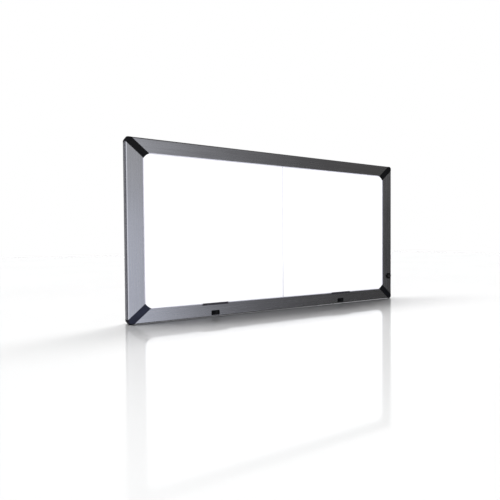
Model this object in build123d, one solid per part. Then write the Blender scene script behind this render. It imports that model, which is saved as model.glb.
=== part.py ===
from build123d import *

import math
import os

os.makedirs("parts", exist_ok=True)

# Edge-lit LED viewing panel with two banks side by side, in a mitred aluminium frame with plastic corners.
# X runs along the width, Y from front to back (the lit face looks along -Y) and Z up.
# The origin is the middle of the flat underside that the panel stands on. All sizes are in millimetres.
# Two more directions are used below: "depth" counts back from the front face, and "inset" counts
# from a rail's outer edge towards the window.

# Overall size
PANEL_WIDTH = 1000.0
PANEL_HEIGHT = 510.0
PANEL_DEPTH = 32.0
FRONT = -PANEL_DEPTH / 2
HALF_WIDTH = PANEL_WIDTH / 2

# Frame rails: a closed chamber, a front lip over the glazing and a rear skirt round the back panel.
# The lip is wider on the two upright rails than on the top and bottom rails.
WIDE_RAIL_FACE = 39.5
TALL_RAIL_FACE = 46.0
WALL = 1.8
WEB_INSET = 27.5
WEB_WALL = 1.5
REAR_SEAT = 29.4
FRONT_EDGE_RADIUS = 4.5
LIP_EDGE_RADIUS = 0.6
CHAMBER_INSET = WEB_INSET - WEB_WALL
CHAMBER_DEPTH = REAR_SEAT - WALL

# Plastic corner pieces: a diagonal band between the mitred rail ends, with a leg up each rail's chamber.
# The band runs from the outer corner to the window's corner and a little past it.
BAND_WIDTH = 20.5
BAND_PROUD = 0.4
BAND_PAST = 3.0
BAND_NOTCH = 1.2
CORNER_RADIUS = 9.0
LEG_REACH = 75.0
LEG_WALL = 3.0
LEG_CLEARANCE = 0.3
LEG_EDGE_RADIUS = 2.4
MITRE_GAP = 0.1
BAND_ANGLE = math.atan2(WIDE_RAIL_FACE, TALL_RAIL_FACE)
OFFSET_ALONG_WIDTH = BAND_WIDTH / 2 / math.sin(BAND_ANGLE)
OFFSET_ALONG_HEIGHT = BAND_WIDTH / 2 / math.cos(BAND_ANGLE)

# Optical stack behind the lip, front to back
DIFFUSER_THICK = 2.0
GUIDE_THICK = 5.0
REFLECTOR_THICK = 0.5
STACK_INSET = 30.0
BANK_GAP = 0.4
DIVIDER_THICK = 0.8
SHEET_GAP = DIVIDER_THICK + 0.4
GUIDE_DEPTH = WALL + DIFFUSER_THICK
REFLECTOR_DEPTH = GUIDE_DEPTH + GUIDE_THICK
PLATE_DEPTH = REFLECTOR_DEPTH + REFLECTOR_THICK

# LED strips on the inner webs of the top and bottom rails
BOARD_THICK = 1.0
BOARD_DEPTHS = (3.9, 8.9)
LEDS_PER_STRIP = 36
LED_LENGTH = 3.5
LED_WIDTH = 2.8
LED_HEIGHT = 0.8
BOARD_END_GAPS = (8.0, 8.0)
LED_END_GAP = 20.0

# Folded support plate behind the stack, and the back panel
SHEET = 1.0
FLANGE_DEPTH = 20.0
BACK_THICK = 1.2
BACK_CLEARANCE = 0.4
BACK_CORNER_RADIUS = CORNER_RADIUS - WALL - BACK_CLEARANCE
KEYHOLE_SPACING = 600.0
KEYHOLE_HEIGHT = 425.0
KEYHOLE_RADIUS = 5.0
KEYHOLE_SLOT = 5.0
KEYHOLE_RISE = 12.0

# M3 screws, pan-headed and flat-headed, with hex sockets
SHANK_RADIUS = 1.5
SCREW_HOLE_RADIUS = 1.6
PAN_HEAD_RADIUS = 2.8
PAN_HEAD_HEIGHT = 1.8
PAN_SOCKET_RADIUS = 1.15
FLAT_HEAD_RADIUS = 2.9
FLAT_HEAD_HEIGHT = 1.4
FLAT_SOCKET_RADIUS = 0.95
FLAT_SOCKET_DEPTH = 1.0
FLAT_SCREW_LENGTH = 8.0
PLATE_SCREW_LENGTH = 4.0
BACK_SCREW_LENGTH = 6.0
COUNTERSINK_CLEARANCE = 0.1
SCREW_INSET = 14.0
CORNER_SCREW_ALONG = 62.0
BACK_SCREWS_ALONG_WIDTH = (-420.0, -210.0, 0.0, 210.0, 420.0)
BACK_SCREWS_ALONG_HEIGHT = (-140.0, 0.0, 140.0)
PLATE_SCREWS_ALONG_WIDTH = (-400.0, -120.0, 120.0, 400.0)
PLATE_SCREWS_ALONG_HEIGHT = (-150.0, 150.0)
PLATE_SCREW_DEPTH = 15.0

# Film rests and rocker switches, one of each under the middle of each bank
BANK_CENTRE = 243.0
REST_LENGTH = 83.0
REST_HEIGHTS = (WIDE_RAIL_FACE - 3.5, WIDE_RAIL_FACE + 3.0)
REST_PROUD = 3.0
REST_FLOOR = WIDE_RAIL_FACE + 0.4
REST_LIP = 1.3
REST_EDGE_RADIUS = 0.5
REST_TONGUE_END = WALL - 0.2
PEG_SPACING = 60.0
PEG_RADIUS = 1.2
PEG_HEIGHT = WIDE_RAIL_FACE - 1.8
PEG_END = WALL - 0.1
SWITCH_HEIGHT = 12.0
BEZEL_SIZE = (26.0, 14.0)
BEZEL_PROUD = 1.2
BEZEL_CORNER_RADIUS = 1.5
BEZEL_EDGE_RADIUS = 0.5
HOUSING_SIZE = (24.0, 12.4)
HOUSING_DEPTH = 16.0
HOUSING_FIT = 0.1
WELL_SIZE = (20.6, 9.6)
WELL_DEPTH = 10.5
WELL_CORNER_RADIUS = 0.6
ROCKER_RADIUS = 9.9
ROCKER_HEIGHT = 9.0
ROCKER_TILT = 9.0
ROCKER_CREST = 4.6
ROCKER_UNDERSIDE = -3.5
ROCKER_EDGE_RADIUS = 0.4
PIVOT_DEPTH = 3.0
TRUNNION_RADIUS = 1.5
TRUNNION_LENGTH = 11.0
RUNNING_CLEARANCE = 0.05
TERMINAL_PITCH = 7.5
TERMINAL_THICK = 0.8
TERMINAL_WIDTH = 4.8
TERMINAL_END = 22.0
SWITCH_LEAD_DEPTH = 24.1

# Brightness dial on the right rail
DIAL_INSET = 17.0
DIAL_X = HALF_WIDTH - DIAL_INSET
DIAL_HEIGHT = 88.0
DIAL_RADIUS = 10.75
DIAL_PROUD = 4.5
DIAL_GAP = 0.4
DIAL_SHAFT_RADIUS = 2.0
BUSH_RADIUS = 3.5
DIAL_BODY_RADIUS = 8.0
DIAL_BODY_DEPTH = 12.0
DIAL_EDGE_RADIUS = 0.9
DIAL_RIM_WALL = 2.2
DIAL_FACE_THICK = 1.9
DIAL_GRIPS = 24
GRIP_RADIUS = 0.6
GRIP_CENTRE_RADIUS = DIAL_RADIUS + 0.25
DIAL_LEAD_DEPTH = 23.0
NUT_THICK = 1.6
NUT_RADIUS = 5.8
CAP_RADIUS = 6.0
CAP_SEAT = 0.6
CAP_PROUD = 0.2
CAP_CLEARANCE = 0.05
POINTER_SIZE = (0.7, 0.8, 3.0)
POINTER_ANGLE = 40.0
POINTER_FROM_RIM = 1.8
SHAFT_END = -DIAL_PROUD + 0.8

# Low-voltage power inlet in the right rail's outer wall, for a 5.5 mm barrel plug
INLET_HEIGHT = 140.0
INLET_DEPTH = 15.0
INLET_BARREL_RADIUS = 4.5
INLET_MOUTH_RADIUS = 2.85
INLET_PIN_RADIUS = 1.0
INLET_REACH = 14.0
INLET_BORE_LENGTH = 10.5
INLET_FLANGE_RADIUS = INLET_BARREL_RADIUS + 1.6
INLET_FLANGE_THICK = 2.4

# Driver in a plastic case on the back of the support plate
DRIVER_WIDTH = 160.0
DRIVER_HEIGHTS = (120.0, 180.0)
DRIVER_CASE_THICK = 14.0
DRIVER_WALL = 2.0
CASE_DEPTH = PLATE_DEPTH + SHEET
COVER_DEPTH = CASE_DEPTH + DRIVER_CASE_THICK
DRIVER_BOARD_DEPTH = CASE_DEPTH + 4.7
DRIVER_BOARD_THICK = 1.6
DRIVER_BOARD_HALF = 68.0
DRIVER_BOARD_GAP = 4.0
PILLAR_INSET = 6.0
PILLAR_RADIUS = 3.5
STANDOFF_X = 58.0
STANDOFF_INSET = 10.0
STANDOFF_RADIUS = 2.5
DRIVER_SCREW_SHORT = 0.4

# Inner leads, the holes they pass through and the lane they run in behind the tray
LEAD_RADIUS = 1.6
LEAD_HOLE_RADIUS = 3.0
LED_LEAD_RADIUS = 0.8
LED_LEAD_X = 20.0
LED_LEAD_DEPTH = 16.0
LED_LEAD_NOTCH = 5.0
LANE_DEPTH = 19.5

# Cutting tools reach this far past a face, and a tool through one wall is this long
PAST = 1.0
WALL_TOOL = 6.0


def block(x, depth, z):
    """A box between two X values, two depths and two Z values."""
    middle = Pos((x[0] + x[1]) / 2, FRONT + (depth[0] + depth[1]) / 2, (z[0] + z[1]) / 2)
    return middle * Box(x[1] - x[0], depth[1] - depth[0], z[1] - z[0])


def rod(x, z, depth, radius):
    """A round bar along Y between two depths."""
    middle = Pos(x, FRONT + (depth[0] + depth[1]) / 2, z)
    return middle * Rot(90, 0, 0) * Cylinder(radius, depth[1] - depth[0])


def along_x(x, radius):
    """A round bar on the power inlet's axis between two X values."""
    middle = Pos((x[0] + x[1]) / 2, FRONT + INLET_DEPTH, INLET_HEIGHT)
    return middle * Rot(0, 90, 0) * Cylinder(radius, x[1] - x[0])


def back_plane(depth):
    """A plane across the panel at a depth, with its normal towards the viewer, X to the right and Z up."""
    return Plane(origin=(0, FRONT + depth, 0), x_dir=(1, 0, 0), z_dir=(0, -1, 0))


def prism(face, depth):
    """A flat sketch in X and Z, as a solid between two depths."""
    return extrude(back_plane(depth[1]) * face, depth[1] - depth[0])


def patch(across, up):
    """A rectangle between two values each way."""
    middle = Pos((across[0] + across[1]) / 2, (up[0] + up[1]) / 2)
    return middle * Rectangle(across[1] - across[0], up[1] - up[0])


def outline(*points):
    return make_face(Polyline(*points, close=True))


def pan_head_screw(length, head_height=PAN_HEAD_HEIGHT):
    """A pan-head hex-socket screw: the head sits on local Z = 0 and the shank points down."""
    body = Pos(0, 0, head_height / 2) * Cylinder(PAN_HEAD_RADIUS, head_height)
    body = fillet(body.edges().group_by(Axis.Z)[-1], head_height * 0.45)
    body += Pos(0, 0, -length / 2) * Cylinder(SHANK_RADIUS, length)
    socket = extrude(RegularPolygon(PAN_SOCKET_RADIUS, 6), head_height)
    return body - Pos(0, 0, head_height * 0.4) * socket


def flat_head_blank(clearance=0.0):
    """A flat head and shank flush with local Z = 0; with a clearance it is the tool for its own hole."""
    cone = Cone(SHANK_RADIUS + clearance, FLAT_HEAD_RADIUS + clearance, FLAT_HEAD_HEIGHT)
    body = Pos(0, 0, -FLAT_HEAD_HEIGHT / 2) * cone
    return body + Pos(0, 0, -FLAT_SCREW_LENGTH / 2) * Cylinder(SHANK_RADIUS + clearance, FLAT_SCREW_LENGTH)


def flat_head_screw():
    socket = extrude(RegularPolygon(FLAT_SOCKET_RADIUS, 6), FLAT_SOCKET_DEPTH + 0.1)
    return flat_head_blank() - Pos(0, 0, -FLAT_SOCKET_DEPTH) * socket


def facing(x, depth, z, direction):
    """The placement of a screw whose head looks along a direction."""
    return Plane(origin=(x, FRONT + depth, z), z_dir=direction).location


# ---------------------------------------------------------------- frame rails

def rounded_corner(sketch, corner, radius):
    """A sketch with its vertex nearest to a point rounded."""
    return fillet(sketch.vertices().sort_by_distance(corner)[0], radius)


def rail_section(face):
    """The extrusion's section, with depth along local X and inset along local Y."""
    section = patch((0, REAR_SEAT), (0, WEB_INSET))
    section += patch((REAR_SEAT - PAST, PANEL_DEPTH), (0, WALL))
    section += patch((0, WALL), (WEB_INSET - PAST, face))
    section = rounded_corner(section, (0, 0), FRONT_EDGE_RADIUS)
    section = rounded_corner(section, (0, face), LIP_EDGE_RADIUS)
    chamber = patch((WALL, CHAMBER_DEPTH), (WALL, CHAMBER_INSET))
    return section - rounded_corner(chamber, (WALL, WALL), FRONT_EDGE_RADIUS - WALL)


def mitre_waste(length, face, offset_along, slope):
    """What is cut off both ends of a rail lying along X with its outer edge at Z = 0."""
    start = offset_along + MITRE_GAP
    end = outline(
        (-PAST, -PAST),
        (start - PAST * slope, -PAST),
        (start + (face + PAST) * slope, face + PAST),
        (-PAST, face + PAST),
    )
    waste = Pos(-length / 2, 0, 0) * prism(end, (-PAST, PANEL_DEPTH + PAST))
    return waste + mirror(waste, about=Plane.YZ)


def plain_rail(length, face, offset_along, slope, back_screws, plate_screws):
    """A rail along X with its outer edge at Z = 0, its ends mitred and its screw holes made."""
    start = Plane(origin=(-length / 2, FRONT, 0), x_dir=(0, 1, 0), z_dir=(1, 0, 0))
    bar = extrude(start * rail_section(face), length)
    bar -= mitre_waste(length, face, offset_along, slope)
    for x in back_screws:
        bar -= rod(x, SCREW_INSET, (CHAMBER_DEPTH - PAST, REAR_SEAT + PAST), SCREW_HOLE_RADIUS)
    for x in plate_screws:
        hole = Cylinder(SCREW_HOLE_RADIUS, WALL_TOOL)
        bar -= Pos(x, FRONT + PLATE_SCREW_DEPTH, WEB_INSET) * hole
    for side in (-1, 1):
        x = side * (length / 2 - CORNER_SCREW_ALONG)
        bar -= facing(x, REAR_SEAT, SCREW_INSET, (0, 1, 0)) * flat_head_blank(COUNTERSINK_CLEARANCE)
    return bar


# Placements that carry a rail lying along X to each side of the frame
TO_TOP = Pos(0, 0, PANEL_HEIGHT) * Rot(0, 180, 0)
TO_LEFT = Pos(-HALF_WIDTH, 0, PANEL_HEIGHT / 2) * Rot(0, 90, 0)
TO_RIGHT = Pos(HALF_WIDTH, 0, PANEL_HEIGHT / 2) * Rot(0, -90, 0)


def wide_rail():
    slope = TALL_RAIL_FACE / WIDE_RAIL_FACE
    screws = (BACK_SCREWS_ALONG_WIDTH, PLATE_SCREWS_ALONG_WIDTH)
    return plain_rail(PANEL_WIDTH, WIDE_RAIL_FACE, OFFSET_ALONG_WIDTH, slope, *screws)


def tall_rail():
    slope = WIDE_RAIL_FACE / TALL_RAIL_FACE
    screws = (BACK_SCREWS_ALONG_HEIGHT, PLATE_SCREWS_ALONG_HEIGHT)
    return plain_rail(PANEL_HEIGHT, TALL_RAIL_FACE, OFFSET_ALONG_HEIGHT, slope, *screws)


def bottom_rail():
    """The bottom rail, cut for the switches, the film rests' pegs and the switch leads."""
    bar = wide_rail()
    half_width = HOUSING_SIZE[0] / 2 + HOUSING_FIT
    half_height = HOUSING_SIZE[1] / 2 + HOUSING_FIT
    heights = (SWITCH_HEIGHT - half_height, SWITCH_HEIGHT + half_height)
    for side in (-1, 1):
        x = side * BANK_CENTRE
        bar -= block((x - half_width, x + half_width), (-PAST, WALL + PAST), heights)
        bar -= Pos(x, FRONT + SWITCH_LEAD_DEPTH, WEB_INSET) * Cylinder(LEAD_HOLE_RADIUS, WALL_TOOL)
        for peg in (-1, 1):
            peg_x = x + peg * PEG_SPACING / 2
            bar -= rod(peg_x, PEG_HEIGHT, (-PAST, WALL + PAST), PEG_RADIUS + RUNNING_CLEARANCE)
    return bar


def right_rail():
    """The right rail, cut for the dial's bush, the power inlet and their leads."""
    bar = TO_RIGHT * tall_rail()
    bar -= rod(DIAL_X, DIAL_HEIGHT, (-PAST, WALL + PAST), BUSH_RADIUS + 0.1)
    web_x = HALF_WIDTH - WEB_INSET
    lead_hole = Rot(0, 90, 0) * Cylinder(LEAD_HOLE_RADIUS, WALL_TOOL)
    bar -= Pos(web_x, FRONT + DIAL_LEAD_DEPTH, DIAL_HEIGHT) * lead_hole
    bar -= Pos(web_x, FRONT + INLET_DEPTH, INLET_HEIGHT) * lead_hole
    return bar - along_x((HALF_WIDTH - WALL_TOOL, HALF_WIDTH + PAST), INLET_BARREL_RADIUS + 0.1)


# ---------------------------------------------------------------- corner pieces

def corner_piece():
    """The bottom left corner: the diagonal band, a hollow block behind it and two legs."""
    foot = corner_foot()
    body = prism(corner_band(), (-BAND_PROUD, WALL)) + prism(foot, (0, REAR_SEAT))
    body = fillet(outer_front_edges(body), FRONT_EDGE_RADIUS)
    body += prism(foot - skirt_opening(), (CHAMBER_DEPTH, PANEL_DEPTH))
    body -= prism(offset(foot, -LEG_WALL), (LEG_WALL + WALL, REAR_SEAT + PAST))
    body += level_leg() + upright_leg()
    for place in (
        facing(CORNER_SCREW_ALONG, REAR_SEAT, SCREW_INSET, (0, 1, 0)),
        facing(SCREW_INSET, REAR_SEAT, CORNER_SCREW_ALONG, (0, 1, 0)),
    ):
        body -= place * flat_head_blank(COUNTERSINK_CLEARANCE)
    return Pos(-HALF_WIDTH, 0, 0) * body


def beside_band(share):
    """The points on the band's lower and upper edges at a share of the way across the rails' faces."""
    x = share * TALL_RAIL_FACE
    z = share * WIDE_RAIL_FACE
    return (OFFSET_ALONG_WIDTH + x, z), (x, OFFSET_ALONG_HEIGHT + z)


def corner_band():
    """The band's outline, rounded at the panel's corner and with a shallow hollow at its inner end."""
    end_share = 1 + BAND_PAST / math.hypot(WIDE_RAIL_FACE, TALL_RAIL_FACE)
    low_start, high_start = beside_band(0)
    low_end, high_end = beside_band(end_share)
    hollow = (
        (low_end[0] + high_end[0]) / 2 - BAND_NOTCH * math.cos(BAND_ANGLE),
        (low_end[1] + high_end[1]) / 2 - BAND_NOTCH * math.sin(BAND_ANGLE),
    )
    sides = Polyline(high_end, high_start, (0, 0), low_start, low_end)
    band = make_face([*sides.edges(), ThreePointArc(low_end, hollow, high_end)])
    return rounded_corner(band, (0, 0), CORNER_RADIUS)


def corner_foot():
    """The outline of the block behind the band, out to the rails' inner webs."""
    low_start, high_start = beside_band(0)
    low_end = beside_band(WEB_INSET / WIDE_RAIL_FACE)[0]
    high_end = beside_band(WEB_INSET / TALL_RAIL_FACE)[1]
    foot = outline((0, 0), low_start, low_end, (WEB_INSET, WEB_INSET), high_end, high_start)
    return rounded_corner(foot, (0, 0), CORNER_RADIUS)


def outer_front_edges(body):
    """The front edges of the band that lie on the frame's outer outline."""
    front_edges = body.edges().group_by(Axis.Y)[0]
    return [e for e in front_edges if e.center().X + e.center().Z < OFFSET_ALONG_HEIGHT]


def skirt_opening():
    """The space inside the skirts, where the back panel lies."""
    opening = patch((WALL, LEG_REACH), (WALL, LEG_REACH))
    return rounded_corner(opening, (0, 0), CORNER_RADIUS - WALL)


def leg_section():
    """A leg's hollow section, with depth along local X and inset along local Y."""
    low = WALL + LEG_CLEARANCE
    high = CHAMBER_INSET - LEG_CLEARANCE
    rear = CHAMBER_DEPTH - LEG_CLEARANCE
    section = rounded_corner(patch((low, rear), (low, high)), (low, low), LEG_EDGE_RADIUS)
    return section - patch((low + LEG_WALL, rear - LEG_WALL), (low + LEG_WALL, high - LEG_WALL))


def level_leg():
    """The leg in the bottom rail's chamber, cut at its root along the band's side."""
    start = Plane(origin=(OFFSET_ALONG_WIDTH, FRONT, 0), x_dir=(0, 1, 0), z_dir=(1, 0, 0))
    leg = extrude(start * leg_section(), LEG_REACH - OFFSET_ALONG_WIDTH)
    inner_x = beside_band(CHAMBER_INSET / WIDE_RAIL_FACE)[0][0]
    root = outline((OFFSET_ALONG_WIDTH, 0), (inner_x, CHAMBER_INSET), (OFFSET_ALONG_WIDTH, CHAMBER_INSET))
    return leg - prism(root, (0, PANEL_DEPTH))


def upright_leg():
    """The leg in the left rail's chamber, cut at its root along the band's other side."""
    end = Plane(origin=(0, FRONT, LEG_REACH), x_dir=(0, 1, 0), z_dir=(0, 0, -1))
    leg = extrude(end * leg_section(), LEG_REACH - OFFSET_ALONG_HEIGHT)
    inner_z = beside_band(CHAMBER_INSET / TALL_RAIL_FACE)[1][1]
    root = outline((0, OFFSET_ALONG_HEIGHT), (CHAMBER_INSET, inner_z), (CHAMBER_INSET, OFFSET_ALONG_HEIGHT))
    return leg - prism(root, (0, PANEL_DEPTH))


def flipped(shape, about):
    """The mirror image of a shape or of a group of separate solids."""
    return Compound(children=[solid.mirror(about) for solid in shape.solids()])


def to_right(shape):
    return flipped(shape, Plane.YZ)


def to_top(shape):
    return flipped(shape, Plane(origin=(0, 0, PANEL_HEIGHT / 2), z_dir=(0, 0, 1)))


# ---------------------------------------------------------------- optical stack

def bank_sheet(depth, gap):
    """The left bank's sheet of glazing between two depths, with half a gap at the centre line."""
    x = (-HALF_WIDTH + STACK_INSET, -gap / 2)
    return block(x, depth, (STACK_INSET, PANEL_HEIGHT - STACK_INSET))


def led_board():
    """The left bank's bottom LED board, on the rail's inner web."""
    outer_gap, inner_gap = BOARD_END_GAPS
    x = (-HALF_WIDTH + STACK_INSET + outer_gap, -inner_gap)
    return block(x, BOARD_DEPTHS, (WEB_INSET, WEB_INSET + BOARD_THICK))


def led_chips():
    """The chips on that board, evenly spaced and facing the light guide's edge."""
    first = -HALF_WIDTH + STACK_INSET + LED_END_GAP
    last = -LED_END_GAP
    pitch = (last - first) / (LEDS_PER_STRIP - 1)
    centre_depth = sum(BOARD_DEPTHS) / 2
    depth = (centre_depth - LED_WIDTH / 2, centre_depth + LED_WIDTH / 2)
    z = (WEB_INSET + BOARD_THICK, WEB_INSET + BOARD_THICK + LED_HEIGHT)
    chips = []
    for i in range(LEDS_PER_STRIP):
        x = first + i * pitch
        chips.append(block((x - LED_LENGTH / 2, x + LED_LENGTH / 2), depth, z))
    return Compound(children=chips)


# ---------------------------------------------------------------- support plate and back panel

def support_plate():
    """A folded tray: a flat sheet behind the reflectors, with a flange back along each edge."""
    half = HALF_WIDTH - WEB_INSET
    tray = block((-half, half), (PLATE_DEPTH, FLANGE_DEPTH), (WEB_INSET, PANEL_HEIGHT - WEB_INSET))
    tray -= block(
        (-half + SHEET, half - SHEET),
        (PLATE_DEPTH + SHEET, FLANGE_DEPTH + PAST),
        (WEB_INSET + SHEET, PANEL_HEIGHT - WEB_INSET - SHEET),
    )
    for x in PLATE_SCREWS_ALONG_WIDTH:
        upright = Cylinder(SCREW_HOLE_RADIUS, PANEL_HEIGHT)
        tray -= Pos(x, FRONT + PLATE_SCREW_DEPTH, PANEL_HEIGHT / 2) * upright
    for z in PLATE_SCREWS_ALONG_HEIGHT:
        across = Rot(0, 90, 0) * Cylinder(SCREW_HOLE_RADIUS, PANEL_WIDTH)
        tray -= Pos(0, FRONT + PLATE_SCREW_DEPTH, PANEL_HEIGHT / 2 + z) * across
    reach = LED_LEAD_NOTCH
    for x in (-LED_LEAD_X, LED_LEAD_X):
        for z in (WEB_INSET, PANEL_HEIGHT - WEB_INSET):
            depth = (PLATE_DEPTH - PAST, FLANGE_DEPTH + PAST)
            tray -= block((x - reach, x + reach), depth, (z - reach, z + reach))
    tray -= along_x((half - WALL_TOOL / 2, half + PAST), LEAD_HOLE_RADIUS)
    for x, z in driver_pillars():
        tray -= rod(x, z, (PLATE_DEPTH - PAST, PLATE_DEPTH + SHEET + PAST), SCREW_HOLE_RADIUS)
    return tray


def support_plate_screws():
    """Screws through the tray's flanges into the rails' webs."""
    inset = WEB_INSET + SHEET
    places = []
    for x in PLATE_SCREWS_ALONG_WIDTH:
        places.append(facing(x, PLATE_SCREW_DEPTH, inset, (0, 0, 1)))
        places.append(facing(x, PLATE_SCREW_DEPTH, PANEL_HEIGHT - inset, (0, 0, -1)))
    for along in PLATE_SCREWS_ALONG_HEIGHT:
        z = PANEL_HEIGHT / 2 + along
        places.append(facing(-HALF_WIDTH + inset, PLATE_SCREW_DEPTH, z, (1, 0, 0)))
        places.append(facing(HALF_WIDTH - inset, PLATE_SCREW_DEPTH, z, (-1, 0, 0)))
    return Compound(children=[place * pan_head_screw(PLATE_SCREW_LENGTH) for place in places])


def back_screw_places():
    """Where the back panel's screws stand, as (x, z)."""
    places = []
    for x in BACK_SCREWS_ALONG_WIDTH:
        places += [(x, SCREW_INSET), (x, PANEL_HEIGHT - SCREW_INSET)]
    for along in BACK_SCREWS_ALONG_HEIGHT:
        z = PANEL_HEIGHT / 2 + along
        places += [(-HALF_WIDTH + SCREW_INSET, z), (HALF_WIDTH - SCREW_INSET, z)]
    return places


def back_panel():
    """The rear sheet, inside the skirts, with two keyholes to hang the panel on a wall."""
    margin = WALL + BACK_CLEARANCE
    sheet = Pos(0, PANEL_HEIGHT / 2) * RectangleRounded(
        PANEL_WIDTH - 2 * margin, PANEL_HEIGHT - 2 * margin, BACK_CORNER_RADIUS
    )
    for side in (-1, 1):
        x = side * KEYHOLE_SPACING / 2
        sheet -= Pos(x, KEYHOLE_HEIGHT) * Circle(KEYHOLE_RADIUS)
        slot = (x - KEYHOLE_SLOT / 2, x + KEYHOLE_SLOT / 2)
        sheet -= patch(slot, (KEYHOLE_HEIGHT, KEYHOLE_HEIGHT + KEYHOLE_RISE))
        sheet -= Pos(x, KEYHOLE_HEIGHT + KEYHOLE_RISE) * Circle(KEYHOLE_SLOT / 2)
    for x, z in back_screw_places():
        sheet -= Pos(x, z) * Circle(SCREW_HOLE_RADIUS)
    return prism(sheet, (REAR_SEAT, REAR_SEAT + BACK_THICK))


def back_panel_screws():
    """Low pan-head screws through the back panel into the rails' rear walls, flush with the skirts."""
    head_height = PANEL_DEPTH - REAR_SEAT - BACK_THICK
    screws = []
    for x, z in back_screw_places():
        place = facing(x, REAR_SEAT + BACK_THICK, z, (0, 1, 0))
        screws.append(place * pan_head_screw(BACK_SCREW_LENGTH, head_height))
    return Compound(children=screws)


def corner_screws():
    """Two flat-head screws into each corner piece's legs, flush under the back panel."""
    screws = []
    for side in (-1, 1):
        near = side * (HALF_WIDTH - SCREW_INSET)
        far = side * (HALF_WIDTH - CORNER_SCREW_ALONG)
        for x, up in ((far, SCREW_INSET), (near, CORNER_SCREW_ALONG)):
            for z in (up, PANEL_HEIGHT - up):
                screws.append(facing(x, REAR_SEAT, z, (0, 1, 0)) * flat_head_screw())
    return Compound(children=screws)


# ---------------------------------------------------------------- film rests

def film_rest(x):
    """A ledge under a film's lower edge: a strip on the rail's face with a low front lip and two pegs."""
    ends = (x - REST_LENGTH / 2, x + REST_LENGTH / 2)
    low, high = REST_HEIGHTS
    rest = block(ends, (-REST_PROUD, 0), (low, REST_FLOOR))
    rest += block(ends, (-PAST, REST_TONGUE_END), (WIDE_RAIL_FACE + RUNNING_CLEARANCE, REST_FLOOR))
    rest += block(ends, (-REST_PROUD, -REST_PROUD + REST_LIP), (low, high))
    rest = fillet(rest.edges().filter_by(Axis.X).group_by(Axis.Y)[0], REST_EDGE_RADIUS)
    for side in (-1, 1):
        rest += rod(x + side * PEG_SPACING / 2, PEG_HEIGHT, (-PAST, PEG_END), PEG_RADIUS)
    return rest


# ---------------------------------------------------------------- rocker switches

def switch_housing(x):
    """A snap-in housing with a bezel, a well for the rocker and two blind bearings."""
    face = Pos(x, SWITCH_HEIGHT)
    housing = prism(face * RectangleRounded(*BEZEL_SIZE, BEZEL_CORNER_RADIUS), (-BEZEL_PROUD, 0))
    housing = fillet(housing.edges().group_by(Axis.Y)[0], BEZEL_EDGE_RADIUS)
    housing += prism(face * Rectangle(*HOUSING_SIZE), (-BEZEL_PROUD / 2, HOUSING_DEPTH))
    well = RectangleRounded(*WELL_SIZE, WELL_CORNER_RADIUS)
    housing -= prism(face * well, (-BEZEL_PROUD - PAST, WELL_DEPTH))
    bearing = Cylinder(TRUNNION_RADIUS + RUNNING_CLEARANCE, TRUNNION_LENGTH + 0.4)
    return housing - Pos(x, FRONT + PIVOT_DEPTH, SWITCH_HEIGHT) * bearing


def switch_terminals(x):
    """Three blades behind the housing."""
    z = (SWITCH_HEIGHT - TERMINAL_WIDTH / 2, SWITCH_HEIGHT + TERMINAL_WIDTH / 2)
    blades = []
    for step in (-1, 0, 1):
        middle = x + step * TERMINAL_PITCH
        ends = (middle - TERMINAL_THICK / 2, middle + TERMINAL_THICK / 2)
        blades.append(block(ends, (HOUSING_DEPTH, TERMINAL_END), z))
    return Compound(children=blades)


def rocker(x):
    """The rocker, tilted as it stands at rest with its left half pressed in, on two trunnions."""
    reach = ROCKER_RADIUS + PAST
    end_crest = ROCKER_CREST + ROCKER_RADIUS * math.tan(math.radians(ROCKER_TILT))
    face = Circle(ROCKER_RADIUS) & outline(
        (-reach, ROCKER_UNDERSIDE),
        (reach, ROCKER_UNDERSIDE),
        (reach, end_crest),
        (0, ROCKER_CREST),
        (-reach, end_crest),
    )
    body = Pos(0, 0, -ROCKER_HEIGHT / 2) * extrude(face, ROCKER_HEIGHT)
    body = fillet(body.edges().filter_by(Axis.Z).group_by(Axis.Y)[-1], ROCKER_EDGE_RADIUS)
    body += Cylinder(TRUNNION_RADIUS, TRUNNION_LENGTH)
    turned = Rot(0, 0, 180 - ROCKER_TILT) * body
    return Pos(x, FRONT + PIVOT_DEPTH, SWITCH_HEIGHT) * turned


# ---------------------------------------------------------------- brightness dial

def dimmer_body():
    """The potentiometer: a round can behind the rail's face and a threaded bush through it."""
    can = rod(DIAL_X, DIAL_HEIGHT, (WALL, DIAL_BODY_DEPTH), DIAL_BODY_RADIUS)
    can += rod(DIAL_X, DIAL_HEIGHT, (-NUT_THICK - 0.2, WALL), BUSH_RADIUS)
    bore = (-DIAL_PROUD, DIAL_BODY_DEPTH - 2)
    return can - rod(DIAL_X, DIAL_HEIGHT, bore, DIAL_SHAFT_RADIUS + RUNNING_CLEARANCE)


def dimmer_nut():
    nut = RegularPolygon(NUT_RADIUS, 6) - Circle(BUSH_RADIUS + RUNNING_CLEARANCE)
    return prism(Pos(DIAL_X, DIAL_HEIGHT) * nut, (-NUT_THICK, 0))


def dimmer_shaft():
    return rod(DIAL_X, DIAL_HEIGHT, (SHAFT_END, DIAL_BODY_DEPTH - 2.5), DIAL_SHAFT_RADIUS)


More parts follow.
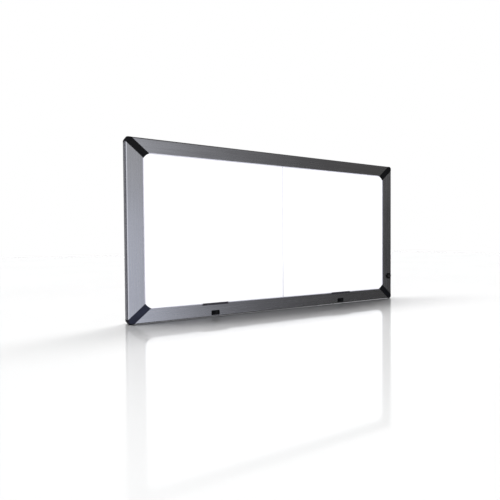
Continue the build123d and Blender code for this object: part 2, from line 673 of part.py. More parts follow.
def dimmer_knob():
    """A low dial with fine grips round its rim and a recess for its cap."""
    knob = rod(DIAL_X, DIAL_HEIGHT, (-DIAL_PROUD, -DIAL_GAP), DIAL_RADIUS)
    knob = fillet(knob.edges().group_by(Axis.Y)[0], DIAL_EDGE_RADIUS)
    face_back = -DIAL_PROUD + DIAL_FACE_THICK
    knob -= rod(DIAL_X, DIAL_HEIGHT, (face_back, PAST), DIAL_RADIUS - DIAL_RIM_WALL)
    knob += rod(DIAL_X, DIAL_HEIGHT, (SHAFT_END, -NUT_THICK - 0.5), BUSH_RADIUS + 0.7)
    knob -= rod(DIAL_X, DIAL_HEIGHT, (SHAFT_END, PAST), DIAL_SHAFT_RADIUS)
    knob -= rod(DIAL_X, DIAL_HEIGHT, (-DIAL_PROUD - PAST, -DIAL_PROUD + CAP_SEAT), CAP_RADIUS)
    for i in range(DIAL_GRIPS):
        angle = 2 * math.pi * i / DIAL_GRIPS
        x = DIAL_X + GRIP_CENTRE_RADIUS * math.cos(angle)
        z = DIAL_HEIGHT + GRIP_CENTRE_RADIUS * math.sin(angle)
        knob -= rod(x, z, (-DIAL_PROUD - PAST, PAST), GRIP_RADIUS)
    return knob


def knob_cap():
    """The light disc set in the dial, with a pointer groove at its upper right."""
    depth = (-DIAL_PROUD - CAP_PROUD, -DIAL_PROUD + CAP_SEAT)
    cap = rod(DIAL_X, DIAL_HEIGHT, depth, CAP_RADIUS - CAP_CLEARANCE)
    pointer = Rot(0, POINTER_ANGLE, 0) * Pos(0, 0, CAP_RADIUS - POINTER_FROM_RIM) * Box(*POINTER_SIZE)
    return cap - Pos(DIAL_X, FRONT - DIAL_PROUD, DIAL_HEIGHT) * pointer


# ---------------------------------------------------------------- power inlet

def power_inlet():
    """A panel socket for a barrel plug: a flange inside the rail and a barrel through its wall."""
    seat = HALF_WIDTH - WALL
    inlet = along_x((HALF_WIDTH - INLET_REACH, HALF_WIDTH - 0.3), INLET_BARREL_RADIUS)
    inlet += along_x((seat - INLET_FLANGE_THICK, seat), INLET_FLANGE_RADIUS)
    return inlet - along_x((HALF_WIDTH - INLET_BORE_LENGTH, HALF_WIDTH + PAST), INLET_MOUTH_RADIUS)


def power_inlet_pin():
    return along_x((HALF_WIDTH - INLET_BORE_LENGTH, HALF_WIDTH - 1.5), INLET_PIN_RADIUS)


# ---------------------------------------------------------------- driver

def driver_pillars():
    """Where the driver case's four screws stand, as (x, z)."""
    x = DRIVER_WIDTH / 2 - PILLAR_INSET
    low, high = DRIVER_HEIGHTS
    return [(side * x, z) for side in (-1, 1) for z in (low + PILLAR_INSET, high - PILLAR_INSET)]


def driver_case():
    """An open plastic tray with screw pillars and board standoffs."""
    half = DRIVER_WIDTH / 2
    low, high = DRIVER_HEIGHTS
    case = block((-half, half), (CASE_DEPTH, COVER_DEPTH), (low, high))
    case -= block(
        (-half + DRIVER_WALL, half - DRIVER_WALL),
        (CASE_DEPTH + DRIVER_WALL, COVER_DEPTH + PAST),
        (low + DRIVER_WALL, high - DRIVER_WALL),
    )
    for x, z in driver_pillars():
        case += rod(x, z, (CASE_DEPTH + DRIVER_WALL / 2, COVER_DEPTH), PILLAR_RADIUS)
        case -= rod(x, z, (CASE_DEPTH - PAST, COVER_DEPTH + PAST), SCREW_HOLE_RADIUS)
    for x in (-STANDOFF_X, STANDOFF_X):
        for z in (low + STANDOFF_INSET, high - STANDOFF_INSET):
            case += rod(x, z, (CASE_DEPTH + DRIVER_WALL / 2, DRIVER_BOARD_DEPTH), STANDOFF_RADIUS)
    return case


def driver_cover():
    half = DRIVER_WIDTH / 2
    cover = block((-half, half), (COVER_DEPTH, COVER_DEPTH + DRIVER_WALL), DRIVER_HEIGHTS)
    for x, z in driver_pillars():
        cover -= rod(x, z, (COVER_DEPTH - PAST, COVER_DEPTH + DRIVER_WALL + PAST), SCREW_HOLE_RADIUS)
    return cover


def driver_board():
    low, high = DRIVER_HEIGHTS
    x = (-DRIVER_BOARD_HALF, DRIVER_BOARD_HALF)
    depth = (DRIVER_BOARD_DEPTH, DRIVER_BOARD_DEPTH + DRIVER_BOARD_THICK)
    return block(x, depth, (low + DRIVER_BOARD_GAP, high - DRIVER_BOARD_GAP))


def driver_components():
    """What stands on the board: a coil block, capacitors, a controller and the lead connectors."""
    face = DRIVER_BOARD_DEPTH + DRIVER_BOARD_THICK
    low = DRIVER_HEIGHTS[0]
    coil = block((-16, 8), (face, face + 6.5), (low + 18, low + 40))
    capacitors = [rod(x, low + 42, (face, face + 6.8), 4.0) for x in (20, 31, 42)]
    controller = block((18, 34), (face, face + 1.8), (low + 14, low + 26))
    connectors = []
    for x in (-62, 52):
        for z in (low + 20, low + 34):
            connectors.append(block((x, x + 10), (face, face + 6.0), (z, z + 8)))
    return Compound(children=[coil, *capacitors, controller, *connectors])


def driver_screws():
    seat = COVER_DEPTH + DRIVER_WALL
    places = [facing(x, seat, z, (0, 1, 0)) for x, z in driver_pillars()]
    length = seat - PLATE_DEPTH - DRIVER_SCREW_SHORT
    return Compound(children=[place * pan_head_screw(length) for place in places])


# ---------------------------------------------------------------- inner leads

def lead(points, radius, bend):
    """An inner lead along straight runs joined by tangent arcs; points are (x, depth, z)."""
    route = [(x, FRONT + depth, z) for x, depth, z in points]
    path = FilletPolyline(*route, radius=bend) if len(route) > 2 else Line(*route)
    start = Plane(origin=path @ 0, z_dir=path % 0)
    return sweep(start * Circle(radius), path=path)


def switch_lead(side):
    """From a switch up through the bottom rail's web to the driver's side."""
    x = side * BANK_CENTRE
    entry = DRIVER_HEIGHTS[0] + 15
    route = [
        (x, TERMINAL_END, SWITCH_HEIGHT),
        (x, SWITCH_LEAD_DEPTH, SWITCH_HEIGHT),
        (x, SWITCH_LEAD_DEPTH, SWITCH_HEIGHT + 10),
        (x, LANE_DEPTH, entry - 30),
        (x - side * 40, LANE_DEPTH, entry),
        (side * DRIVER_WIDTH / 2, LANE_DEPTH, entry),
    ]
    return lead(route, LEAD_RADIUS, bend=1.9)


def dimmer_lead():
    """From the dimmer through the right rail's web to the driver."""
    entry = DRIVER_HEIGHTS[0] + 25
    route = [
        (DIAL_X, DIAL_BODY_DEPTH, DIAL_HEIGHT),
        (DIAL_X, DIAL_LEAD_DEPTH, DIAL_HEIGHT),
        (400, DIAL_LEAD_DEPTH, DIAL_HEIGHT),
        (330, DIAL_LEAD_DEPTH - 2, entry),
        (DRIVER_WIDTH / 2, DIAL_LEAD_DEPTH - 2, entry),
    ]
    return lead(route, LEAD_RADIUS, bend=6.0)


def power_lead():
    """From the inlet through the right rail's web to the driver."""
    entry = DRIVER_HEIGHTS[1] - 10
    route = [
        (HALF_WIDTH - INLET_REACH, INLET_DEPTH, INLET_HEIGHT),
        (420, INLET_DEPTH, INLET_HEIGHT),
        (360, INLET_DEPTH, entry),
        (DRIVER_WIDTH / 2, INLET_DEPTH, entry),
    ]
    return lead(route, LEAD_RADIUS, bend=12.0)


def led_leads(side):
    """From a bank's bottom and top LED boards back through the tray's notches to the driver."""
    x = side * LED_LEAD_X
    start = WEB_INSET + LED_LEAD_RADIUS + 0.1
    low, high = DRIVER_HEIGHTS
    leads = []
    for board, case in ((start, low), (PANEL_HEIGHT - start, high)):
        route = [(x, BOARD_DEPTHS[1], board), (x, LED_LEAD_DEPTH, board), (x, LED_LEAD_DEPTH, case)]
        leads.append(lead(route, LED_LEAD_RADIUS, bend=4.0))
    return Compound(children=leads)


# ---------------------------------------------------------------- every node

def bank_nodes():
    """The nodes that come in a left and a right copy."""
    left = {
        "diffuser": bank_sheet((WALL, GUIDE_DEPTH), BANK_GAP),
        "light_guide": bank_sheet((GUIDE_DEPTH, REFLECTOR_DEPTH), SHEET_GAP),
        "reflector": bank_sheet((REFLECTOR_DEPTH, PLATE_DEPTH), SHEET_GAP),
        "led_board_bottom": led_board(),
        "led_chips_bottom": led_chips(),
    }
    left["led_board_top"] = to_top(left["led_board_bottom"])
    left["led_chips_top"] = to_top(left["led_chips_bottom"])
    nodes = {}
    for name, shape in left.items():
        nodes[f"{name}_left"] = shape
        nodes[f"{name}_right"] = to_right(shape)
    for name, side in (("left", -1), ("right", 1)):
        x = side * BANK_CENTRE
        nodes[f"film_rest_{name}"] = film_rest(x)
        nodes[f"switch_housing_{name}"] = switch_housing(x)
        nodes[f"switch_terminals_{name}"] = switch_terminals(x)
        nodes[f"rocker_{name}"] = rocker(x)
        nodes[f"switch_lead_{name}"] = switch_lead(side)
        nodes[f"led_leads_{name}"] = led_leads(side)
    return nodes


def all_nodes():
    nodes = {
        "bottom_rail": bottom_rail(),
        "top_rail": TO_TOP * wide_rail(),
        "left_rail": TO_LEFT * tall_rail(),
        "right_rail": right_rail(),
    }
    corner = corner_piece()
    nodes["corner_piece_bottom_left"] = corner
    nodes["corner_piece_bottom_right"] = to_right(corner)
    nodes["corner_piece_top_left"] = to_top(corner)
    nodes["corner_piece_top_right"] = to_top(to_right(corner))
    nodes["corner_screws"] = corner_screws()
    nodes.update(bank_nodes())
    half = DIVIDER_THICK / 2
    nodes["bank_divider"] = block(
        (-half, half), (GUIDE_DEPTH, PLATE_DEPTH), (STACK_INSET, PANEL_HEIGHT - STACK_INSET)
    )
    nodes["support_plate"] = support_plate()
    nodes["support_plate_screws"] = support_plate_screws()
    nodes["back_panel"] = back_panel()
    nodes["back_panel_screws"] = back_panel_screws()
    nodes["dimmer_body"] = dimmer_body()
    nodes["dimmer_nut"] = dimmer_nut()
    nodes["dimmer_shaft"] = dimmer_shaft()
    nodes["dimmer_knob"] = dimmer_knob()
    nodes["knob_cap"] = knob_cap()
    nodes["dimmer_lead"] = dimmer_lead()
    nodes["power_inlet"] = power_inlet()
    nodes["power_inlet_pin"] = power_inlet_pin()
    nodes["power_lead"] = power_lead()
    nodes["driver_case"] = driver_case()
    nodes["driver_cover"] = driver_cover()
    nodes["driver_board"] = driver_board()
    nodes["driver_components"] = driver_components()
    nodes["driver_screws"] = driver_screws()
    return nodes


for node_name, node_shape in all_nodes().items():
    export_step(node_shape, f"parts/{node_name}.step")
    print(node_name, round(node_shape.volume, 1))
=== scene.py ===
import math

import bpy
from mathutils import Euler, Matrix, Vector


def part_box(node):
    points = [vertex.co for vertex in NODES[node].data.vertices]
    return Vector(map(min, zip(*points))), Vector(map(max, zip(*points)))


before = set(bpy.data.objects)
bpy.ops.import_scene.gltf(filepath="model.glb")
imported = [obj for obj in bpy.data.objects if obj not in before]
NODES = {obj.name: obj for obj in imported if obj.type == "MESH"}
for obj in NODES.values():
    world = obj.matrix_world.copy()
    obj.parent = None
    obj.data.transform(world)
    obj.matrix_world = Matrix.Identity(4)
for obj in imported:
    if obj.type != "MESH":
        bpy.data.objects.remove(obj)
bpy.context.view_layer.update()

MM = 0.001

# ---------------------------------------------------------------- camera

CAMERA_PLACE = (-0.7019, -1.096, 0.2241)
CAMERA_TURN = (88.774, 0.425, -28.157)
CAMERA_LENS = 28.09
CAMERA_SENSOR = 36.0


def turned(*degrees):
    return Euler([math.radians(angle) for angle in degrees])


def make_camera():
    data = bpy.data.cameras.new("camera")
    data.lens = CAMERA_LENS
    data.sensor_width = CAMERA_SENSOR
    camera = bpy.data.objects.new("camera", data)
    camera.location = CAMERA_PLACE
    camera.rotation_euler = turned(*CAMERA_TURN)
    bpy.context.scene.collection.objects.link(camera)
    bpy.context.scene.camera = camera


# ---------------------------------------------------------------- node-graph helpers

class Graph:
    """A material's or world's node tree, with short calls to add and join nodes."""

    def __init__(self, tree):
        self.tree = tree

    def add(self, kind, inputs=None, **settings):
        node = self.tree.nodes.new(kind)
        for key, value in settings.items():
            setattr(node, key, value)
        for key, value in (inputs or {}).items():
            self.feed(node.inputs[key], value)
        return node

    def feed(self, socket, value):
        if isinstance(value, bpy.types.NodeSocket):
            self.tree.links.new(value, socket)
        else:
            socket.default_value = value

    def math(self, operation, a, b=0.0):
        return self.add("ShaderNodeMath", {0: a, 1: b}, operation=operation).outputs[0]

    def weigh(self, a, b, share):
        """Adds two values up, the first by its share and the second by the rest."""
        first = self.math("MULTIPLY", a, share)
        return self.math("ADD", first, self.math("MULTIPLY", b, 1 - share))

    def spread(self, value, low, high, to_low=0.0, to_high=1.0):
        """Maps a value from one range to another, smoothly and within its ends."""
        node = self.add("ShaderNodeMapRange", interpolation_type="SMOOTHSTEP")
        for index, number in enumerate((value, low, high, to_low, to_high)):
            self.feed(node.inputs[index], number)
        return node.outputs[0]

    def ramp(self, value, stops):
        node = self.add("ShaderNodeValToRGB", {0: value})
        elements = node.color_ramp.elements
        while len(elements) < len(stops):
            elements.new(0.5)
        for element, (place, colour) in zip(elements, stops):
            element.position = place
            element.color = (*colour, 1.0)
        return node.outputs[0]

    def blend(self, factor, a, b):
        node = self.add("ShaderNodeMix", data_type="RGBA")
        for key, value in (("Factor", factor), ("A", a), ("B", b)):
            self.feed(node.inputs[key], value)
        return node.outputs["Result"]

    def mix_shaders(self, factor, a, b):
        return self.add("ShaderNodeMixShader", {0: factor, 1: a, 2: b}).outputs[0]

    def place(self, kind="Object"):
        return self.add("ShaderNodeTexCoord").outputs[kind]

    def noise(self, per_metre, detail=2.0, rough=0.5):
        """Noise over the object's own coordinates, by its number of features per metre.

        One number serves all three axes, and three numbers stretch the noise along X, Y and Z.
        """
        scale = per_metre if isinstance(per_metre, tuple) else (per_metre,) * 3
        mapped = self.add("ShaderNodeMapping", {"Vector": self.place(), "Scale": scale}).outputs[0]
        inputs = {"Vector": mapped, "Scale": 1.0, "Detail": detail, "Roughness": rough}
        return self.add("ShaderNodeTexNoise", inputs).outputs[0]

    def bump(self, height, strength, distance, under=None):
        inputs = {"Strength": strength, "Distance": distance, "Height": height}
        if under is not None:
            inputs["Normal"] = under
        return self.add("ShaderNodeBump", inputs).outputs[0]


def new_material(name, **sockets):
    """A material with uniform numbers set straight on its shader, and a graph to add detail to."""
    material = bpy.data.materials.new(name)
    material.use_nodes = True
    graph = Graph(material.node_tree)
    shader = material.node_tree.nodes["Principled BSDF"]
    for key, value in sockets.items():
        shader.inputs[key.replace("_", " ")].default_value = value
    return material, graph, shader


def lay_detail(graph, shader, colour, rough, normal):
    """Joins a surface's detail to the three sockets that show it."""
    graph.feed(shader.inputs["Base Color"], colour)
    graph.feed(shader.inputs["Roughness"], rough)
    graph.feed(shader.inputs["Normal"], normal)


# ---------------------------------------------------------------- materials

# Most of a noise's values lie in this range, so tones and gloss are spread over it
NOISE_RANGE = (0.3, 0.7)
NOISE_MIDDLE = 0.5

WHITE = (1.0, 1.0, 1.0)
ANODISED = (0.56, 0.565, 0.59)
# Die lines per metre: along a rail they are long, across it fine
LINES_ALONG = 7.0
LINES_ACROSS = 650.0
ALONG_X = (LINES_ALONG, LINES_ACROSS, LINES_ACROSS)
ALONG_Z = (LINES_ACROSS, LINES_ACROSS, LINES_ALONG)
QUARTER_TURN = 0.25
HALF_TURN = 0.5

PLASTIC_GRAIN = 1500.0
PLASTIC_SPECKLE = 0.12

# Painted shade on the lit windows: the glow fades over distances in metres from the lip, a shorter
# way along the bottom, and from the centre line
LIP_PAINTED_SHADE = (-0.0025, 0.0055)
BOTTOM_STEEPNESS = 1.8
SEAM_PAINTED_SHADE = (0.0005, 0.003)
SEAM_SHADE_DIP = 0.64
MOTTLE_DIP = 0.985
OPAL_TONES = (0.66, 0.7)
# Emission colour by glow level: its dim lilac low end is the painted shade by the lip and the seam
GLOW = [
    (0.0, (0.02, 0.02, 0.06)),
    (0.5, (0.3, 0.3, 0.38)),
    (0.9, (0.6, 0.6, 0.64)),
    (1.0, (0.86, 0.865, 0.88)),
]


def shade(value):
    return (value, value, value)


def tones(colour, dark, light):
    """Ramp stops over a noise's range, from a darker to a lighter tint of the colour."""
    return [
        (place, tuple(part * factor for part in colour))
        for place, factor in zip(NOISE_RANGE, (dark, light))
    ]


def aluminium(name, grain, turn):
    """Satin anodised extrusion: fine die lines along its length and faint cloudiness."""
    material, graph, shader = new_material(
        name, Metallic=1.0, Anisotropic=0.55, Anisotropic_Rotation=turn
    )
    lines = graph.noise(grain, detail=3.0, rough=0.6)
    cloud = graph.noise(9.0)
    tone = graph.weigh(lines, cloud, share=0.75)
    darker, lighter = tones(ANODISED, dark=0.86, light=1.1)
    grit = graph.bump(graph.noise(2600.0, detail=1.0), strength=0.05, distance=0.0002)
    lay_detail(
        graph, shader,
        colour=graph.ramp(tone, [darker, (NOISE_MIDDLE, ANODISED), lighter]),
        rough=graph.spread(tone, *NOISE_RANGE, to_low=0.2, to_high=0.3),
        normal=graph.bump(lines, strength=0.12, distance=0.0004, under=grit),
    )
    return material


def moulded_plastic(name, colour, rough, relief=0.15, level=0.5):
    """Moulded plastic: fine spark-eroded grain, slight tone changes and uneven gloss."""
    material, graph, shader = new_material(name, Specular_IOR_Level=level)
    fine = graph.noise(PLASTIC_GRAIN)
    cloud = graph.noise(40.0, detail=3.0)
    tone = graph.weigh(fine, cloud, share=0.5)
    stops = tones(colour, dark=1 - PLASTIC_SPECKLE, light=1 + PLASTIC_SPECKLE)
    lay_detail(
        graph, shader,
        colour=graph.ramp(tone, stops),
        rough=graph.spread(cloud, *NOISE_RANGE, to_low=rough - 0.05, to_high=rough + 0.07),
        normal=graph.bump(fine, strength=relief, distance=0.0002),
    )
    return material


def plated_metal(name, colour, rough):
    """Plated or turned metal with cloudy tone and fine scratches."""
    material, graph, shader = new_material(name, Metallic=1.0)
    scratches = graph.noise((400.0, 2500.0, 400.0), detail=3.0, rough=0.65)
    cloud = graph.noise(60.0, detail=3.0)
    lay_detail(
        graph, shader,
        colour=graph.ramp(cloud, tones(colour, dark=0.8, light=1.1)),
        rough=graph.spread(scratches, *NOISE_RANGE, to_low=rough - 0.08, to_high=rough + 0.1),
        normal=graph.bump(scratches, strength=0.15, distance=0.0002),
    )
    return material


def powder_coat(name, colour):
    """Textured powder coat: small rounded pimples and a soft sheen."""
    material, graph, shader = new_material(name, Specular_IOR_Level=0.45)
    pimples = graph.noise(900.0, rough=0.4)
    cloud = graph.noise(5.0, detail=3.0)
    tone = graph.weigh(pimples, cloud, share=0.4)
    lay_detail(
        graph, shader,
        colour=graph.ramp(tone, tones(colour, dark=0.85, light=1.15)),
        rough=graph.spread(pimples, *NOISE_RANGE, to_low=0.5, to_high=0.66),
        normal=graph.bump(pimples, strength=0.35, distance=0.0004),
    )
    return material


def lit_diffuser(name):
    """Opal acrylic lit from behind: even white, with painted shade that dims it near the frame's
    lip and centre line.
    """
    material, graph, shader = new_material(name, Roughness=0.32, Emission_Strength=1.0)
    across, _, up = graph.add("ShaderNodeSeparateXYZ", {0: graph.place()}).outputs
    to_left = graph.math("SUBTRACT", across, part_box("left_rail")[1].x)
    to_right = graph.math("SUBTRACT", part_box("right_rail")[0].x, across)
    to_bottom = graph.math("SUBTRACT", up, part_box("bottom_rail")[1].z)
    to_top = graph.math("SUBTRACT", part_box("top_rail")[0].z, up)
    sides = graph.math("MINIMUM", to_left, to_right)
    ends = graph.math("MINIMUM", graph.math("MULTIPLY", to_bottom, BOTTOM_STEEPNESS), to_top)
    # Painted shade: the glow dims and turns lilac towards the frame's lip, standing in for the
    # lip's shade on the diffuser's edge
    lip_shade = graph.spread(graph.math("MINIMUM", sides, ends), *LIP_PAINTED_SHADE)
    # Painted shade: the glow dips along the centre seam between the two banks
    seam_shade = graph.spread(graph.math("ABSOLUTE", across), *SEAM_PAINTED_SHADE, to_low=SEAM_SHADE_DIP)
    mottle = graph.noise(14.0, detail=3.0)
    patches = graph.spread(mottle, *NOISE_RANGE, to_low=MOTTLE_DIP)
    glow = graph.math("MULTIPLY", graph.math("MULTIPLY", lip_shade, seam_shade), patches)
    graph.feed(shader.inputs["Emission Color"], graph.ramp(glow, GLOW))
    graph.feed(shader.inputs["Base Color"], graph.ramp(mottle, tones(WHITE, *OPAL_TONES)))
    fine = graph.noise(1800.0, detail=1.0)
    graph.feed(shader.inputs["Normal"], graph.bump(fine, strength=0.05, distance=0.0001))
    return material


MATERIALS = {
    "rail_wide": aluminium("anodised_along_x", ALONG_X, turn=QUARTER_TURN),
    "rail_tall": aluminium("anodised_along_z", ALONG_Z, turn=0.0),
    "corner": moulded_plastic("corner_plastic", (0.006, 0.006, 0.008), rough=0.5, level=0.22),
    "diffuser": lit_diffuser("lit_opal"),
    "rest": moulded_plastic("rest_plastic", (0.075, 0.068, 0.088), rough=0.4),
    "switch": moulded_plastic(
        "switch_plastic", (0.003, 0.003, 0.004), rough=0.4, relief=0.06, level=0.15
    ),
    "dial": moulded_plastic("dial_plastic", shade(0.004), rough=0.5, level=0.2),
    "cap": moulded_plastic("cap_plastic", (0.035, 0.035, 0.036), rough=0.42),
    "back": powder_coat("back_powder_coat", (0.035, 0.035, 0.038)),
    "screw": plated_metal("screw_zinc", (0.42, 0.42, 0.44), rough=0.35),
    "inner_sheet": plated_metal("mill_sheet", (0.7, 0.71, 0.72), rough=0.35),
    "pot": plated_metal("pot_plating", (0.62, 0.61, 0.58), rough=0.3),
    "brass": plated_metal("terminal_brass", (0.72, 0.55, 0.26), rough=0.3),
    "guide": moulded_plastic("guide_acrylic", (0.75, 0.8, 0.82), rough=0.2),
    "white_film": moulded_plastic("reflector_film", shade(0.85), rough=0.5),
    "led_board": moulded_plastic("led_board_mask", (0.8, 0.81, 0.8), rough=0.35),
    "led_chip": moulded_plastic("led_phosphor", (0.85, 0.7, 0.25), rough=0.35),
    "jacket": moulded_plastic("lead_jacket", shade(0.02), rough=0.5),
    "case": moulded_plastic("driver_plastic", (0.03, 0.03, 0.034), rough=0.45),
    "board": moulded_plastic("circuit_mask", (0.02, 0.12, 0.05), rough=0.3),
    "component": moulded_plastic("component_body", (0.03, 0.03, 0.032), rough=0.4),
}

# The start of a CAD node's name and its material. The first match counts.
MATERIAL_BY_START = (
    ("bottom_rail", "rail_wide"),
    ("top_rail", "rail_wide"),
    ("left_rail", "rail_tall"),
    ("right_rail", "rail_tall"),
    ("corner_piece", "corner"),
    ("corner_screws", "screw"),
    ("diffuser", "diffuser"),
    ("light_guide", "guide"),
    ("reflector", "white_film"),
    ("bank_divider", "white_film"),
    ("led_board", "led_board"),
    ("led_chips", "led_chip"),
    ("led_leads", "jacket"),
    ("film_rest", "rest"),
    ("switch_housing", "switch"),
    ("switch_terminals", "brass"),
    ("switch_lead", "jacket"),
    ("rocker", "switch"),
    ("dimmer_knob", "dial"),
    ("knob_cap", "cap"),
    ("dimmer_lead", "jacket"),
    ("dimmer", "pot"),
    ("power_inlet_pin", "pot"),
    ("power_inlet", "switch"),
    ("power_lead", "jacket"),
    ("driver_board", "board"),
    ("driver_components", "component"),
    ("driver_screws", "screw"),
    ("driver", "case"),
    ("support_plate_screws", "screw"),
    ("support_plate", "inner_sheet"),
    ("back_panel_screws", "screw"),
    ("back_panel", "back"),
)

# The start of a CAD node's name and its rounded edges' width in millimetres
EDGE_ROUND = {
    "corner_piece": 0.35,
    "top_rail": 0.18,
    "bottom_rail": 0.18,
    "left_rail": 0.18,
    "right_rail": 0.18,
    "back_panel": 0.2,
    "film_rest": 0.4,
    "switch_housing": 0.2,
    "rocker": 0.25,
    "knob_cap": 0.15,
    "power_inlet": 0.15,
}
EDGE_SEGMENTS = 2
# Faces that meet below the first angle are one flat face, and edges above the second are rounded
FLAT_LIMIT = math.radians(0.5)
SHARP_LIMIT = math.radians(35)


def material_of(name):
    for start, key in MATERIAL_BY_START:
        if name.startswith(start):
            return MATERIALS[key]
    raise ValueError(name)


def soften_edges(obj, width):
    """Rounds a CAD node's sharp edges with modifiers, which leave its mesh as it is."""
    flat = obj.modifiers.new("flat_faces", "DECIMATE")
    flat.decimate_type = "DISSOLVE"
    flat.angle_limit = FLAT_LIMIT
    bevel = obj.modifiers.new("edge_round", "BEVEL")
    bevel.width = width
    bevel.segments = EDGE_SEGMENTS
    bevel.limit_method = "ANGLE"
    bevel.angle_limit = SHARP_LIMIT
    bevel.harden_normals = True


def dress_cad_nodes():
    for name, obj in NODES.items():
        obj.data.materials.clear()
        obj.data.materials.append(material_of(name))
        for start, width in EDGE_ROUND.items():
            if name.startswith(start):
                soften_edges(obj, width * MM)


# ---------------------------------------------------------------- floor and lights

FLOOR_HALF = 6.0
FLOOR_TONES = (0.36, 0.37)
# The floor's reflection fades out between these distances from the object, evenly to an eye that
# is close to the floor
GLOSS_FROM = 0.6
GLOSS_TO = 5.0

# The overhead softbox is a fan of suns, at these angles in degrees
SOFTBOX_LEANS = (-40, -20, 0, 20, 40)
SOFTBOX_TILT = -16
SOFTBOX_SOFTNESS = 20
SOFTBOX_ENERGY = 9.4

CARD_SIZE = 0.5
CARD_PLACE = (-0.45, -0.75, 0.02)
CARD_TURN = (90, 0, 0)
CARD_ENERGY = 7.8
CARD_COLOUR = (0.47, 0.55, 1.0)


def make_floor():
    mesh = bpy.data.meshes.new("floor")
    signs = ((-1, -1), (1, -1), (1, 1), (-1, 1))
    corners = [(x * FLOOR_HALF, y * FLOOR_HALF, 0.0) for x, y in signs]
    mesh.from_pydata(corners, [], [(0, 1, 2, 3)])
    floor = bpy.data.objects.new("floor", mesh)
    bpy.context.scene.collection.objects.link(floor)
    material, graph, glossy = new_material("floor", Roughness=0.06, IOR=1.65)
    colour = graph.ramp(graph.noise(1.5), tones(WHITE, *FLOOR_TONES))
    graph.feed(glossy.inputs["Base Color"], colour)
    matte = graph.add("ShaderNodeBsdfDiffuse", {"Color": colour})
    length = graph.add("ShaderNodeVectorMath", {0: graph.place()}, operation="LENGTH")
    nearness = graph.math("DIVIDE", 1.0, length.outputs["Value"])
    gloss = graph.spread(nearness, 1 / GLOSS_TO, 1 / GLOSS_FROM)
    output = material.node_tree.nodes["Material Output"]
    surface = graph.mix_shaders(gloss, matte.outputs[0], glossy.outputs[0])
    graph.feed(output.inputs["Surface"], surface)
    mesh.materials.append(material)
    # The rails reflect the lower half of the world's light in place of the floor
    floor.visible_glossy = False
    return floor


def add_light(name, kind, energy, turn, receivers):
    """A light that only the objects in one collection receive."""
    data = bpy.data.lights.new(name, kind)
    data.energy = energy
    light = bpy.data.objects.new(name, data)
    light.rotation_euler = turn
    bpy.context.scene.collection.objects.link(light)
    light.light_linking.receiver_collection = receivers
    return light


def make_floor_lights(floor):
    """A wide overhead softbox, as a fan of soft suns that only the floor receives."""
    receivers = bpy.data.collections.new("floor_light_receivers")
    receivers.objects.link(floor)
    energy = SOFTBOX_ENERGY / len(SOFTBOX_LEANS)
    for i, lean in enumerate(SOFTBOX_LEANS):
        turn = turned(SOFTBOX_TILT, lean, 0)
        light = add_light(f"floor_light_{i}", "SUN", energy, turn, receivers)
        light.data.angle = math.radians(SOFTBOX_SOFTNESS)
        light.visible_glossy = False


def make_low_bounce():
    """A cool reflector card low at the front left, for the two bottom corner pieces only."""
    receivers = bpy.data.collections.new("low_bounce_receivers")
    for name, obj in NODES.items():
        if name.startswith("corner_piece_bottom"):
            receivers.objects.link(obj)
    card = add_light("low_bounce", "AREA", CARD_ENERGY, turned(*CARD_TURN), receivers)
    card.data.size = CARD_SIZE
    card.data.color = CARD_COLOUR
    card.location = CARD_PLACE


# ---------------------------------------------------------------- world

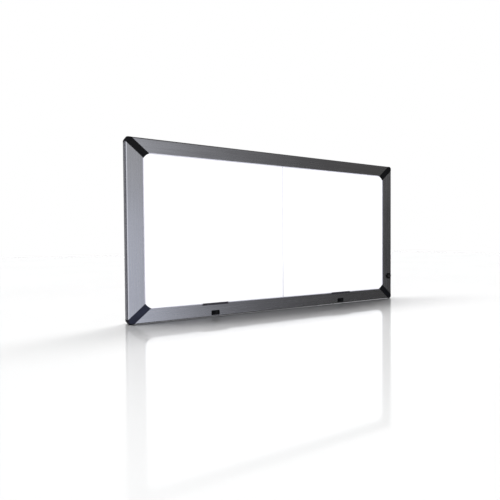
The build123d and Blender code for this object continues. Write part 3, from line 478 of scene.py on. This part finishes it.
# The light that the object reflects, by compass direction in whole turns: 0 is the front, a
# quarter the left, a half the back and three quarters the right. From the right round to the
# front it differs with height.
LEFT_AND_BACK = [
    (0.06, (1.4, 1.42, 1.48)),
    (0.13, (0.9, 0.91, 0.96)),
    (0.2, (0.3, 0.3, 0.34)),
    (0.3, (0.13, 0.13, 0.15)),
    (0.473, (0.12, 0.12, 0.14)),
    (0.486, shade(1.0)),
    (0.69, shade(1.0)),
]
RIGHT_HIGH = [
    (0.75, shade(0.03)),
    (0.855, (0.11, 0.106, 0.098)),
    (0.9, (0.136, 0.132, 0.132)),
    (0.94, (0.275, 0.273, 0.278)),
    (0.975, (0.54, 0.54, 0.55)),
]
RIGHT_LOW = [
    (0.75, shade(0.02)),
    (0.855, (0.062, 0.061, 0.058)),
    (0.9, (0.104, 0.102, 0.104)),
    (0.94, (0.272, 0.275, 0.292)),
    (0.975, (0.92, 0.95, 1.07)),
]
# Heights are sines of the angle above the horizon. The low light changes to the high light over
# the first range. Over the second, up or down, everything fades to an even dim tone.
RISE = (0.01, 0.22)
CEILING_FADE = (0.6, 0.75)
CEILING = (0.1, 0.1, 0.1, 1.0)
# What matt surfaces receive, and what the camera sees
AMBIENT = {"Color": (0.95, 0.97, 1.0, 1.0), "Strength": 0.2}
BACKDROP = {"Color": (1.0, 1.0, 1.0, 1.0), "Strength": 1.0}


def make_world():
    """White to the eye. Its reflections are bright in front and behind, dim left, dark right."""
    world = bpy.data.worlds.new("studio")
    bpy.context.scene.world = world
    world.use_nodes = True
    graph = Graph(world.node_tree)
    background = world.node_tree.nodes["Background"]
    output = world.node_tree.nodes["World Output"]
    east, north, up = graph.add("ShaderNodeSeparateXYZ", {0: graph.place("Generated")}).outputs
    azimuth = graph.math("ARCTAN2", east, north)
    turn = graph.math("ADD", graph.math("DIVIDE", azimuth, 2 * math.pi), HALF_TURN)
    high, low = (
        graph.ramp(turn, [(0.0, right[-1][1]), *LEFT_AND_BACK, *right])
        for right in (RIGHT_HIGH, RIGHT_LOW)
    )
    around = graph.blend(graph.spread(up, *RISE), low, high)
    overhead = graph.spread(graph.math("ABSOLUTE", up), *CEILING_FADE)
    graph.feed(background.inputs["Color"], graph.blend(overhead, around, CEILING))
    backdrop = graph.add("ShaderNodeBackground", BACKDROP)
    ambient = graph.add("ShaderNodeBackground", AMBIENT)
    rays = graph.add("ShaderNodeLightPath").outputs
    lit = graph.mix_shaders(rays["Is Diffuse Ray"], background.outputs[0], ambient.outputs[0])
    seen = graph.mix_shaders(rays["Is Camera Ray"], lit, backdrop.outputs[0])
    graph.feed(output.inputs["Surface"], seen)


def set_look():
    view = bpy.context.scene.view_settings
    view.view_transform = "Standard"
    view.look = "None"
    view.exposure = 0.0
    view.gamma = 1.0


make_camera()
set_look()
dress_cad_nodes()
make_floor_lights(make_floor())
make_low_bounce()
make_world()
